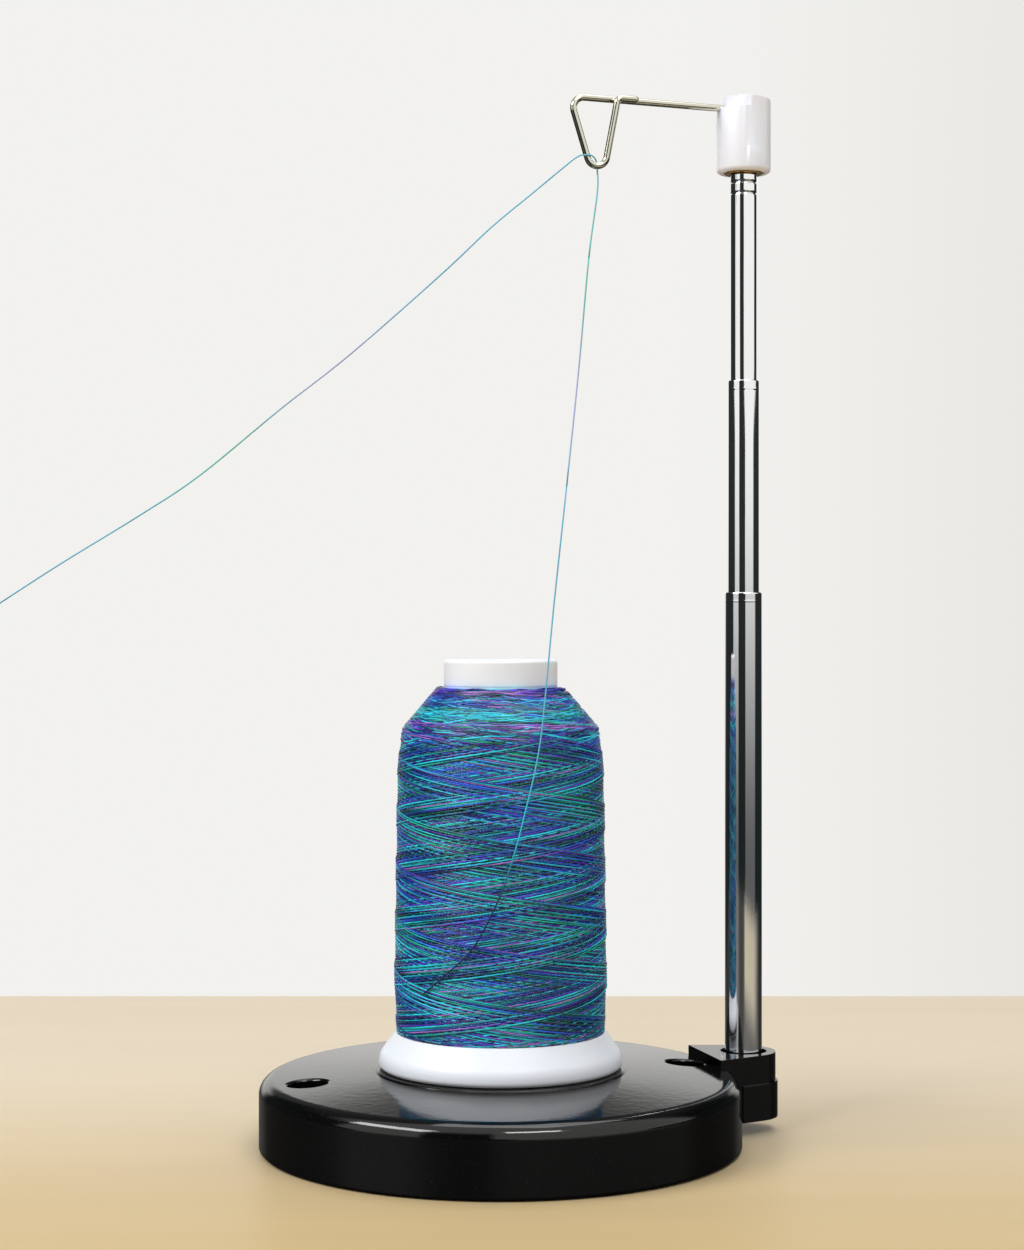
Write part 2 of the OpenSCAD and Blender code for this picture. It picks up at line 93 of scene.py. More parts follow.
class ThreadStandSizes(PropertyGroup):
    """Sizes that shape the dressed pieces."""

    strand_d: FloatProperty(
        name="Strand", description="Width of one strand on the spool",
        default=0.4 * MM, min=0.1 * MM, unit="LENGTH")
    strand_lead: FloatProperty(
        name="Lead", description="Climb of the winding in one turn of the spool",
        default=27 * MM, unit="LENGTH")
    passes: IntProperty(
        name="Passes", description="Double passes of thread that show on the spool",
        default=60, min=10, max=90)
    neck_turns: IntProperty(
        name="Shoulder turns", description="Turns of thread on the spool's shoulder",
        default=240, min=20, max=300)
    loose_d: FloatProperty(
        name="Loose thread", description="Diameter of the loose thread",
        default=0.4 * MM, min=0.3 * MM, unit="LENGTH")
    dye_repeat: FloatProperty(
        name="Dye repeat", description="Length of thread in which the dyes repeat",
        default=305 * MM, unit="LENGTH")
    edge: FloatProperty(
        name="Edge", description="Radius of the moulded plastic edges",
        default=0.45 * MM, unit="LENGTH")


class ThreadStandColours(PropertyGroup):
    """Colours of the finishes, linear."""

    black: FloatVectorProperty(
        name="Black plastic", description="Gloss black of the base and bracket",
        subtype="COLOR", default=(0.002, 0.002, 0.0023), min=0, max=1)
    white: FloatVectorProperty(
        name="White plastic", description="White of the cap and the spool",
        subtype="COLOR", default=(0.84, 0.86, 0.90), min=0, max=1)
    chrome: FloatVectorProperty(
        name="Chrome", description="Tint of the plated tubes",
        subtype="COLOR", default=(0.90, 0.91, 0.92), min=0, max=1)
    nickel: FloatVectorProperty(
        name="Nickel", description="Tint of the guide wire",
        subtype="COLOR", default=(0.70, 0.69, 0.57), min=0, max=1)
    brass: FloatVectorProperty(
        name="Brass", description="Tint of the bush and sleeves",
        subtype="COLOR", default=(0.70, 0.40, 0.13), min=0, max=1)
    teal: FloatVectorProperty(
        name="Teal", description="Main dye of the thread",
        subtype="COLOR", default=(0.002, 0.27, 0.35), min=0, max=1)
    cyan: FloatVectorProperty(
        name="Cyan", description="Light dye of the thread",
        subtype="COLOR", default=(0.012, 0.47, 0.62), min=0, max=1)
    green: FloatVectorProperty(
        name="Green", description="Green dye of the thread",
        subtype="COLOR", default=(0.003, 0.32, 0.22), min=0, max=1)
    blue: FloatVectorProperty(
        name="Blue", description="Blue dye of the thread",
        subtype="COLOR", default=(0.014, 0.08, 0.55), min=0, max=1)
    violet: FloatVectorProperty(
        name="Violet", description="Violet dye of the thread",
        subtype="COLOR", default=(0.065, 0.014, 0.36), min=0, max=1)
    pink: FloatVectorProperty(
        name="Pink", description="Pink dye of the thread",
        subtype="COLOR", default=(0.22, 0.10, 0.34), min=0, max=1)


def sizes():
    """The sizes that the sidebar shows."""
    return bpy.context.scene.thread_stand_sizes


def colours():
    """The colours that the sidebar shows."""
    return bpy.context.scene.thread_stand_colours


# Shader maths


class Value:
    """A number socket in a node tree. Arithmetic on it adds Math nodes."""

    def __init__(self, nodes, socket):
        self.nodes = nodes
        self.socket = socket

    def math(self, operation, *others, first=None):
        """A Math node on this value and others, or on first and this value."""
        operands = (self, *others) if first is None else (first, self, *others)
        return self.nodes.node("Math", {"operation": operation}, dict(enumerate(operands)))

    def __add__(self, other):
        return self.math("ADD", other)

    def __radd__(self, other):
        return self.math("ADD", other)

    def __sub__(self, other):
        return self.math("SUBTRACT", other)

    def __rsub__(self, other):
        return self.math("SUBTRACT", first=other)

    def __mul__(self, other):
        return self.math("MULTIPLY", other)

    def __rmul__(self, other):
        return self.math("MULTIPLY", other)

    def __truediv__(self, other):
        return self.math("DIVIDE", other)

    def between(self, low, high):
        """0 below low, 1 above high, and smooth between."""
        return self.nodes.node("MapRange", {"interpolation_type": "SMOOTHSTEP"},
                               {"Value": self, "From Min": low, "From Max": high})


class Nodes:
    """A node tree and the ways in which nodes are added to it."""

    def __init__(self, tree):
        self.tree = tree

    def feed(self, slot, value):
        """Links a value to an input, or sets the input to a number or colour."""
        if isinstance(value, Value):
            self.tree.links.new(value.socket, slot)
        elif slot.type == "RGBA" and len(value) == 3:
            slot.default_value = (*value, 1)
        else:
            slot.default_value = value

    def node(self, kind, settings=None, inputs=None, output=0):
        """Adds a node, sets its settings and then its input values or links."""
        node = self.tree.nodes.new("ShaderNode" + kind)
        for key, value in (settings or {}).items():
            if key == "stops":
                ramp = node.color_ramp
                while len(ramp.elements) < len(value):
                    ramp.elements.new(0.5)
                for element, (place, colour) in zip(ramp.elements, value):
                    element.position = place
                    element.color = (*colour, 1)
            elif key == "interpolation":
                node.color_ramp.interpolation = value
            else:
                setattr(node, key, value)
        for key, value in (inputs or {}).items():
            self.feed(node.inputs[key], value)
        return Value(self, node.outputs[output])

    def place(self):
        """Where a point lies on the piece."""
        return self.node("TexCoord", output="Object")

    def parts(self, vector):
        """X, Y and Z of a vector."""
        return [self.node("SeparateXYZ", inputs={0: vector}, output=k) for k in range(3)]

    def noise(self, scale, detail=3, roughness=0.5, vector=None):
        """Noise over the piece, with scale blotches to the metre."""
        return self.node("TexNoise", inputs={
            "Vector": vector or self.place(), "Scale": scale,
            "Detail": detail, "Roughness": roughness})

    def noise_along(self, place, detail):
        """Noise along a line."""
        return self.node("TexNoise", {"noise_dimensions": "1D"},
                         {"W": place, "Scale": 1.0, "Detail": detail})

    def mix(self, factor, a, b, blend="MIX"):
        """Colour a where factor is 0 and b, or the blend of both, where it is 1."""
        return self.node("Mix", {"data_type": "RGBA", "blend_type": blend},
                         {0: factor, 6: a, 7: b}, output=2)


class Finish(Nodes):
    """One material: a Principled shader and the nodes that feed it."""

    def __init__(self, name, **constants):
        self.material = bpy.data.materials.new(name)
        self.material.use_nodes = True
        super().__init__(self.material.node_tree)
        self.shader = self.tree.nodes["Principled BSDF"]
        for socket, value in constants.items():
            self.set(socket.replace("_", " "), value)

    def set(self, socket, value):
        """Sets or links one socket of the shader."""
        self.feed(self.shader.inputs[socket], value)

    def bump(self, height, strength, distance):
        """Raises the surface by height times distance, in the shading alone."""
        self.set("Normal", self.node("Bump", inputs={
            "Height": height, "Strength": strength, "Distance": distance}))


def black_gloss():
    """Polished black moulding with smudges, dust and a faint orange peel."""
    f = Finish("black_gloss", IOR=1.5)
    smudge = f.noise(38, 4, 0.6)
    dust = f.noise(2600, 2, 0.5).between(0.66, 0.76)
    f.set("Base Color", f.mix(dust * 0.35, colours().black, (0.045, 0.043, 0.04)))
    f.set("Roughness", 0.05 + smudge * 0.08 + dust * 0.3)
    f.bump(f.noise(420, 2, 0.4), 0.05, 0.0004)
    return f.material


def black_satin():
    """Satin black moulding with a fine spark-eroded grain."""
    f = Finish("black_satin", IOR=1.5)
    grain = f.noise(1500, 3, 0.6)
    f.set("Base Color", f.mix(grain, colours().black, (0.012, 0.012, 0.013)))
    f.set("Roughness", 0.34 + grain * 0.2)
    f.bump(grain, 0.12, 0.0003)
    return f.material


def white_plastic(name, roughness, tint):
    """White moulding: soft gloss, faint flow clouds and a fine skin."""
    f = Finish(name, IOR=1.46, Subsurface_Weight=0.12, Subsurface_Scale=0.002)
    white = np.array(colours().white) * np.array(tint)
    cloud = f.noise(55, 3, 0.5)
    f.set("Base Color", f.mix(cloud, white, white * 0.955))
    f.set("Roughness", roughness + cloud * 0.12)
    f.bump(f.noise(900, 2, 0.5), 0.06, 0.0003)
    return f.material


def plated(name, tint, roughness, draw_lines=True):
    """Bright plating with faint smears, and fine upright lines where it was drawn
    through a die."""
    f = Finish(name, Metallic=1.0)
    stretched = f.node("Mapping", inputs={"Vector": f.place(), "Scale": (1, 1, 0.02)})
    draw = f.noise(2600, 2, 0.5, stretched)
    smear = f.noise(60, 3, 0.6)
    tint = np.array(tint)
    f.set("Base Color", f.mix(smear, tint, tint * 0.93))
    f.set("Roughness", roughness + smear * 0.04 + draw * 0.02)
    if draw_lines:
        f.bump(draw, 0.02, 0.0002)
    return f.material


def steel(name, shade, roughness):
    """Turned or rolled steel with a cloudy oxide skin."""
    f = Finish(name, Metallic=1.0)
    cloud = f.noise(90, 4, 0.65)
    f.set("Base Color", f.mix(cloud, (shade,) * 3, (shade * 0.8,) * 3))
    f.set("Roughness", roughness + cloud * 0.15)
    f.bump(f.noise(1200, 3, 0.6), 0.1, 0.0002)
    return f.material


def foam_rubber():
    """Closed-cell foam of the foot pad."""
    f = Finish("foam_rubber", Roughness=0.9, IOR=1.4)
    cells = f.node("TexVoronoi", inputs={"Vector": f.place(), "Scale": 1400})
    f.set("Base Color", f.mix(cells, (0.02, 0.02, 0.02), (0.045, 0.045, 0.045)))
    f.bump(cells, 0.5, 0.0004)
    return f.material


def dyed_thread(name, gloss, repeat, drift, uneven, dyes_and_painted_light):
    """Space-dyed polyester: the dye colours follow each other along the thread, whose
    length at each point is in the attribute along. Drift makes their lengths
    uneven, and plies make a fine bump. The colour also brightens and darkens along
    the thread by uneven: partly uneven dye, partly painted highlight and painted
    shade that stand in for bright and dark strands."""
    f = Finish(name, IOR=1.55, Sheen_Weight=0.1, Sheen_Roughness=0.3)
    along = f.node("Attribute", {"attribute_name": "along"}, output="Fac")
    wander = f.noise_along(along * 3.1, 2)
    phase = (along / repeat + wander * drift).math("FRACT")
    dye = f.node("ValToRGB", {"interpolation": "EASE", "stops": dyes_and_painted_light}, {"Fac": phase})
    # Painted light: this noise brightens and darkens the colour along the thread by uneven, partly
    # uneven dye and partly painted highlight and shade for bright and dark strands.
    dye_depth_and_painted_light = f.noise_along(along * 29, 3).between(0.3, 0.7)
    strength = f.mix(dye_depth_and_painted_light, (1 - uneven,) * 3, (1 + uneven,) * 3)
    f.set("Base Color", f.mix(1.0, dye, strength, "MULTIPLY"))
    f.set("Roughness", gloss + dye_depth_and_painted_light * 0.12)
    ply = 0.9 * MM
    f.bump((along * (2 * math.pi / ply)).math("SINE"), 0.3, 0.00005)
    return f.material


# Shapes


def add_piece(name, points, faces, material, body, replaced=()):
    """Puts arrays of points and faces into a new mesh that rides on a body."""
    mesh = bpy.data.meshes.new(name)
    mesh.from_pydata(points.tolist(), [], [tuple(map(int, face)) for face in faces])
    mesh.update()
    mesh.polygons.foreach_set("use_smooth", [True] * len(mesh.polygons))
    piece = bpy.data.objects.new(name, mesh)
    bpy.context.scene.collection.objects.link(piece)
    mesh.materials.append(material)
    if body:
        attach(piece, body)
    if replaced:
        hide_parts(*replaced)
    return piece


def grid_faces(rows, columns, wrap_rows, wrap_columns):
    """Quads between neighbours of a rows by columns grid of points."""
    i = np.arange(rows if wrap_rows else rows - 1)
    j = np.arange(columns if wrap_columns else columns - 1)
    i, j = np.meshgrid(i, j, indexing="ij")
    i2, j2 = (i + 1) % rows, (j + 1) % columns
    quads = np.stack([i * columns + j, i2 * columns + j, i2 * columns + j2,
                      i * columns + j2], axis=-1)
    return quads.reshape(-1, 4)


def held(profile, inset=0.25 * MM, shortest=1.2 * MM):
    """Adds a point at an inset from both ends of every side of a closed profile
    that is longer than the shortest, p + (q - p) inset / length, so that smooth
    shading leaves the long sides straight."""
    points = []
    for p, q in zip(profile, np.roll(profile, -1, axis=0)):
        points.append(p)
        length = np.linalg.norm(q - p)
        if length > shortest:
            points += [p + (q - p) * inset / length, q - (q - p) * inset / length]
    return np.array(points)


def lathe(profile, steps=160, centre=(0, 0)):
    """Surface of revolution about Z: a profile point (r, z) becomes the circle
    (x + r cos a, y + r sin a, z). The profile runs upward on its outer side.
    Where its ends lie on the axis they become poles, else it closes on itself."""
    profile = np.asarray(profile, float)
    poled = profile[0, 0] < 1e-9 and profile[-1, 0] < 1e-9
    ring = profile[1:-1] if poled else held(profile)
    a = np.linspace(0, 2 * np.pi, steps, endpoint=False)[:, None]
    points = np.stack([centre[0] + ring[:, 0] * np.cos(a), centre[1] + ring[:, 0] * np.sin(a),
                       np.broadcast_to(ring[:, 1], (steps, len(ring)))], axis=-1).reshape(-1, 3)
    faces = grid_faces(steps, len(ring), True, not poled).tolist()
    if poled:
        low, high = len(points), len(points) + 1
        poles = [[*centre, profile[0, 1]], [*centre, profile[-1, 1]]]
        points = np.vstack([points, poles])
        i = np.arange(steps)
        i2 = (i + 1) % steps
        first, last = i * len(ring), i * len(ring) + len(ring) - 1
        faces += np.stack([np.full(steps, low), i2 * len(ring), first], axis=-1).tolist()
        faces += np.stack([last, i2 * len(ring) + len(ring) - 1,
                           np.full(steps, high)], axis=-1).tolist()
    return points, faces


def arc(centre, radius, start, stop, steps=8):
    """Points (r, z) on an arc, angles in degrees from the +r direction."""
    a = np.radians(np.linspace(start, stop, steps))
    return [(centre[0] + radius * math.cos(t), centre[1] + radius * math.sin(t)) for t in a]


def rings_along(path, radius, side, sides):
    """Round sections of a tube: at each path point p with heading t, the ring
    p + radius (cos b u + sin b v), where u is side made square to t and v = t x u."""
    t = np.gradient(path, axis=0)
    t /= np.linalg.norm(t, axis=-1, keepdims=True)
    u = side - np.sum(side * t, axis=-1, keepdims=True) * t
    u /= np.linalg.norm(u, axis=-1, keepdims=True)
    v = np.cross(t, u)
    b = np.linspace(0, 2 * np.pi, sides, endpoint=False)
    radius = np.broadcast_to(np.asarray(radius, float), path.shape[:1])[:, None, None]
    return path[:, None, :] + radius * (
        np.cos(b)[None, :, None] * u[:, None, :] + np.sin(b)[None, :, None] * v[:, None, :])


def tube(path, radius, side, sides):
    """Closed tube along a path, with flat ends."""
    rings = rings_along(path, radius, side, sides)
    count = len(path)
    faces = grid_faces(count, sides, False, True)[:, ::-1].tolist()
    faces.append(list(range(sides))[::-1])
    faces.append([(count - 1) * sides + k for k in range(sides)])
    return rings.reshape(-1, 3), faces


def distance_along(path):
    """Length of the path up to each of its points."""
    return np.concatenate([[0], np.cumsum(np.linalg.norm(np.diff(path, axis=0), axis=1))])


def note_along(piece, values):
    """Writes the length of thread at every point into the attribute along."""
    attribute = piece.data.attributes.new("along", "FLOAT", "POINT")
    attribute.data.foreach_set("value", np.asarray(values, np.float32))


def smooth_route(points, steps):
    """Catmull-Rom curve through the points, with steps to each stretch."""
    p = np.asarray(points, float)
    p = np.vstack([p[0], p, p[-1]])
    t = np.linspace(0, 1, steps, endpoint=False)[None, :, None]
    a, b, c, d = (p[k:len(p) - 3 + k, None, :] for k in range(4))
    curve = b + 0.5 * t * (c - a + t * (2 * a - 5 * b + 4 * c - d + t * (3 * (b - c) + d - a)))
    return np.vstack([curve.reshape(-1, 3), p[-1]])


def smooth_all(mesh, degrees):
    """Smooth shading, but for edges sharper than an angle."""
    mesh.polygons.foreach_set("use_smooth", [True] * len(mesh.polygons))
    mesh.set_sharp_from_angle(angle=math.radians(degrees))


def moulded_copy(node, material, body, edge):
    """A frame node's shape with its doubles merged and its edges rounded."""
    sharp = 35
    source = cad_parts[node]
    mesh = source.data.copy()
    mesh.name = node + "_moulded"
    mesh.transform(source.matrix_world)
    bm = bmesh.new()
    bm.from_mesh(mesh)
    bmesh.ops.remove_doubles(bm, verts=bm.verts, dist=1e-6)
    bmesh.ops.dissolve_limit(bm, angle_limit=math.radians(0.5), verts=bm.verts, edges=bm.edges)
    bm.to_mesh(mesh)
    bm.free()
    mesh.materials.clear()
    mesh.materials.append(material)
    smooth_all(mesh, sharp)
    piece = bpy.data.objects.new(node + "_moulded", mesh)
    bpy.context.scene.collection.objects.link(piece)
    bevel = piece.modifiers.new("edges", "BEVEL")
    bevel.width = edge
    bevel.segments = 3
    bevel.limit_method = "ANGLE"
    bevel.angle_limit = math.radians(sharp)
    bevel.harden_normals = True
    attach(piece, body)
    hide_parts(node)


def combine(piece, operation, solids):
    """Unites closed solids, each given as points and faces, with a piece, or
    takes them away from it."""
    tools = []
    for points, faces in solids:
        tool = add_piece("tool", points, faces, piece.data.materials[0], None)
        boolean = piece.modifiers.new("boolean", "BOOLEAN")
        boolean.operation, boolean.solver, boolean.object = operation, "EXACT", tool
        tools.append(tool)
    bpy.context.view_layer.update()
    graph = bpy.context.evaluated_depsgraph_get()
    mesh = bpy.data.meshes.new_from_object(piece.evaluated_get(graph))
    piece.modifiers.clear()
    piece.data = mesh
    for tool in tools:
        bpy.data.objects.remove(tool)


def repaint(material, *nodes):
    """Gives frame nodes a finish."""
    for name in nodes:
        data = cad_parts[name].data
        data.materials.clear()
        data.materials.append(material)


def soften(profile, radius):
    """Rounds the corners of a closed profile: a corner c between its neighbours
    becomes the curve (1-t)^2 p + 2t(1-t) c + t^2 q, where p and q lie on the
    sides, a radius from c or at most 0.45 of the side."""
    p = np.asarray(profile, float)
    back, on = np.roll(p, 1, axis=0) - p, np.roll(p, -1, axis=0) - p
    back_l = np.linalg.norm(back, axis=1, keepdims=True)
    on_l = np.linalg.norm(on, axis=1, keepdims=True)
    a = p + back * np.minimum(radius / back_l, 0.45)
    b = p + on * np.minimum(radius / on_l, 0.45)
    t = np.linspace(0, 1, 5)[None, :, None]
    curve = (1 - t) ** 2 * a[:, None] + 2 * t * (1 - t) * p[:, None] + t ** 2 * b[:, None]
    return curve.reshape(-1, 2)


def rounded_route(corners, bends, steps=14):
    """Straight stretches joined by round bends: at a corner c between unit
    directions back and on, the arc of radius r about
    c + (back + on) r / (|back + on| sin h), where h is half the angle between."""
    corners = np.asarray(corners, float)
    route = [corners[0][None]]
    t = np.linspace(0, 1, steps)[:, None]
    for before, c, after, r in zip(corners, corners[1:], corners[2:], bends):
        back = (before - c) / np.linalg.norm(before - c)
        on = (after - c) / np.linalg.norm(after - c)
        half = math.acos(float(back @ on)) / 2
        centre = c + (back + on) / np.linalg.norm(back + on) * r / math.sin(half)
        start, stop = c + back * r / math.tan(half) - centre, c + on * r / math.tan(half) - centre
        sweep = math.pi - 2 * half
        route.append(centre + (np.sin((1 - t) * sweep) * start
                               + np.sin(t * sweep) * stop) / math.sin(sweep))
    route.append(corners[-1][None])
    return np.vstack(route)


def domed(path, radius, steps=5):
    """A path and its radii with a half-round end: beyond each end the radius is
    r cos e at a distance r sin e, for e from 0 to a right angle."""
    e = np.linspace(0, math.pi / 2, steps)[1:-1]
    head, tail = (d / np.linalg.norm(d) for d in (path[0] - path[1], path[-1] - path[-2]))
    first = path[0] + head * radius * np.sin(e[::-1])[:, None]
    last = path[-1] + tail * radius * np.sin(e)[:, None]
    radii = np.concatenate([radius * np.cos(e[::-1]), np.full(len(path), radius),
                            radius * np.cos(e)])
    return np.vstack([first, path, last]), radii


# Loose thread, from where it leaves the spool, up through the loop and away

THREAD_ROUTE = np.array([
    (-24.6, -14.5, 43), (-20, -20.4, 48.8), (-14.8, -24.4, 55), (-10.6, -26.5, 63),
    (-7.2, -27.5, 71), (-4, -28.05, 81), (-1.6, -28.1, 90), (0.5, -27.9, 98),
    (2.6, -27, 107), (4.5, -25.2, 118), (7.8, -21.8, 141), (12.8, -17.2, 173),
    (17.9, -11.6, 204), (22.4, -6.3, 234), (25.8, -3.2, 252), (26.2, -1.8, 258.4),
    (25.7, -2.3, 260.7), (23.9, -4.2, 261.5), (22.1, -4.6, 261.5), (19.8, -4.5, 260.9),
    (14.6, -5.6, 256.8), (6.8, -5.4, 250.2), (-3.6, -3.4, 241.3), (-16.5, -1, 228.8),
    (-39.8, 3.2, 207.7), (-57.7, 6.3, 193.2), (-78.1, 9.8, 175.9), (-93.4, 12.5, 165.4),
    (-113.6, 15.9, 152.6), (-131.8, 18.9, 140.4)]) * MM
# Points of the route at which the thread leaves the spool's front and its
# shoulder, and at which the next stretch takes over
LEAVES_SPOOL, OFF_SHOULDER, MID_STRETCH, UPPER_STRETCH, LAST = 0, 8, 11, 13, 29
ROUTE_STEPS = 6
LOOSE_SIDES, KNOT_SIDES = 10, 8


class THREAD_OT_loose(Operator):
    """Lays the loose thread from the spool through the guide, and its end knot"""
    bl_idname = "thread_stand.loose_thread"
    bl_label = "Loose thread"

    def execute(self, context):
        c = colours()
        sky, pale = (0.10, 0.42, 0.62), (0.30, 0.34, 0.62)
        navy, sea = tuple(0.12 * k for k in c.blue), (0.08, 0.45, 0.42)
        material = dyed_thread("loose_thread", 0.4, 0.44, 0.0, 0.12, [
            (0.00, navy), (0.07, navy), (0.12, c.cyan), (0.18, sky), (0.30, sky),
            (0.38, pale), (0.45, sea), (0.56, sky), (0.66, sky), (0.74, pale),
            (0.82, sea), (0.90, sky)])
        radius = sizes().loose_d / 2
        whole = smooth_route(THREAD_ROUTE, ROUTE_STEPS)
        lengths = distance_along(whole)
        knot = self.knot(whole, radius, lengths[-1], material)
        stretches = [
            ("thread_from_spool", LEAVES_SPOOL, MID_STRETCH, "stand", "mid",
             OFF_SHOULDER, MID_STRETCH, ("thread_spool_run", "thread_lower_run"), "object", ()),
            ("thread_up_mast", MID_STRETCH, UPPER_STRETCH, "mid", "top",
             MID_STRETCH, UPPER_STRETCH, ("thread_middle_run",), "object", ()),
            ("thread_through_guide", UPPER_STRETCH, LAST, "top", "guide",
             UPPER_STRETCH, None, ("thread_upper_run", "thread_out_run"), "knot", (knot,))]
        for name, first, last, below, above, hold, free, nodes, end, others in stretches:
            part = slice(first * ROUTE_STEPS, last * ROUTE_STEPS + 1)
            path = whole[part]
            points, faces = tube(path, radius, (0, 1, 0), LOOSE_SIDES)
            piece = add_piece(name, points, faces, material, None)
            note_along(piece, np.repeat(lengths[part], LOOSE_SIDES))
            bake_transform(piece)
            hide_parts(*nodes)
        return {"FINISHED"}

    def knot(self, whole, radius, length, material):
        """An overhand knot drawn tight: the trefoil x = sin s + 2 sin 2s,
        y = cos s - 2 cos 2s, z = -1.1 sin 3s, scaled to the thread."""
        s = np.linspace(0, 2 * np.pi, 72)
        size = radius * 0.72
        heading = whole[-1] - whole[-2]
        heading /= np.linalg.norm(heading)
        side = np.cross(heading, (0, 0, 1))
        side /= np.linalg.norm(side)
        up = np.cross(side, heading)
        flat = np.stack([np.sin(s) + 2 * np.sin(2 * s), np.cos(s) - 2 * np.cos(2 * s),
                         -1.1 * np.sin(3 * s)], axis=1) * size
        path = (whole[-1] + heading * 0.8 * MM + flat[:, :1] * side
                + flat[:, 1:2] * heading + flat[:, 2:] * up)
        points, faces = tube(path, radius, (0.3, 0.2, 1), KNOT_SIDES)
        piece = add_piece("thread_knot", points, faces, material, "guide",
                          ("thread_end_knot",))
        note_along(piece, length + np.repeat(distance_along(path), KNOT_SIDES))
        return piece


class THREAD_OT_winding(Operator):
    """Winds the thread on the spool: crossed passes up and down, and the shoulder"""
    bl_idname = "thread_stand.winding"
    bl_label = "Wound thread"

    LOW, HIGH, TOP = 30.5 * MM, 111.0 * MM, 121.0 * MM
    SHOULDER, DRAW_IN, BELLY = 110.2 * MM, 95 * MM, 46 * MM
    LEAN_INSET, DRAW_INSET, FOOT_INSET = 0.9 * MM, 1.35 * MM, 0.65 * MM
    TOP_R, HUB_R = 16.75 * MM, 14.9 * MM
    BUILD = 0.45 * MM  # by which the radius grows over all the passes
    SIDES = 5

    def radius_at(self, z):
        """Radius of the full spool at height z: a barrel that leans in above its
        belly, draws in by the square near the shoulder and below the belly, then
        a straight cone."""
        full = width("thread_outer_turns") / 2
        above = self.LEAN_INSET * np.clip((z - self.BELLY) / (self.SHOULDER - self.BELLY), 0, 1)
        above += self.DRAW_INSET * np.clip(
            (z - self.DRAW_IN) / (self.SHOULDER - self.DRAW_IN), 0, 1) ** 2
        below = self.FOOT_INSET * np.clip(
            (self.BELLY - z) / (self.BELLY - self.LOW), 0, 1) ** 2
        shoulder_r = full - self.LEAN_INSET - self.DRAW_INSET
        cone = self.TOP_R + (shoulder_r - self.TOP_R) * (self.TOP - z) / (
            self.TOP - self.SHOULDER)
        return np.where(z > self.SHOULDER, cone, full - above - below)

    def execute(self, context):
        c = colours()
        # Painted light among the dye colours: navy, 0.3 times the blue dye, is painted shade for
        # the dark gaps between strands, and the stop at 1.5 times the pink dye is a painted
        # highlight.
        navy, lilac_painted_highlight = tuple(0.3 * k for k in c.blue), tuple(1.5 * k for k in c.pink)
        material = dyed_thread("wound_thread", 0.27, sizes().dye_repeat, 0.5, 0.75, [
            (0.00, c.teal), (0.09, c.cyan), (0.17, c.teal), (0.25, c.green),
            (0.32, navy), (0.40, c.blue), (0.49, c.cyan), (0.57, c.blue),
            (0.64, navy), (0.71, c.violet), (0.77, lilac_painted_highlight), (0.83, c.violet), (0.89, navy),
            (0.95, c.green)])
        random = np.random.default_rng(7)
        self.body(material)
        self.passes("thread_passes_up", 1, material, random)
        self.passes("thread_passes_down", -1, material, random)
        self.shoulder(material, random)
        return {"FINISHED"}

    def body(self, material):
        """Thread below the passes that show, a lathe of the same outline."""
        z = np.linspace(self.LOW, self.TOP - 0.3 * MM, 60)
        inset = self.BUILD + sizes().strand_d * 0.9
        outer = np.stack([self.radius_at(z) - inset, z], axis=1)
        profile = np.vstack([[(self.HUB_R, self.LOW)], outer, [(self.HUB_R, z[-1])]])
        points, faces = lathe(profile, 128)
        piece = add_piece("thread_body", points, faces, material, "spool",
                          ("thread_package",))
        note_along(piece, np.arctan2(points[:, 1], points[:, 0]) * 0.02 + points[:, 2] * 6)

    def passes(self, name, sense, material, random):
        """Each pass is the helix z(t), angle = start + sense * turns * t, where
        z slows at both ends of its travel. Two start angles half a turn apart
        creep on together, so that the passes lie in two crossing ribbons, and
        the radius grows a little with every pass."""
        s = sizes()
        count, strand = s.passes, s.strand_d
        turns = (self.HIGH - self.LOW) / s.strand_lead
        steps = int(turns * 40)
        t = np.linspace(0, 1, steps)
        slowing, slowest = 0.03, 0.12
        speed = np.clip(np.minimum(t, 1 - t) / slowing, slowest, 1)
        rise = np.concatenate([[0], np.cumsum((speed[1:] + speed[:-1]) / 2)])
        rise /= rise[-1]
        j = np.arange(count)
        start = np.pi * (j % 2) + (j // 2) * 2 * np.pi / count + 0.9 * (sense < 0)
        start = start + random.normal(0, 0.004, count)
        age = (j + 0.5 * (sense < 0)) / count
        z = self.LOW + (self.HIGH - self.LOW) * rise[None, :]
        z = z + random.uniform(-0.25, 0.25, (count, 1)) * MM * np.ones_like(rise)
        z = np.clip(z, self.LOW, self.HIGH)
        sway = random.uniform(0, 2 * np.pi, (count, 1))
        angle = start[:, None] + sense * 2 * np.pi * turns * t[None, :]
        angle = angle + 0.0035 * np.sin(t * 31 + sway) + 0.002 * np.sin(t * 87 + 2 * sway)
        r = self.radius_at(z) - strand / 2 - self.BUILD * (1 - age[:, None])
        path = np.stack([r * np.cos(angle), r * np.sin(angle), z], axis=-1)
        points, faces, along = self.strands(path, strand / 2)
        piece = add_piece(name, points, faces, material, "spool",
                          ("thread_package", "thread_outer_turns"))
        note_along(piece, along + 0.37 * (sense < 0))

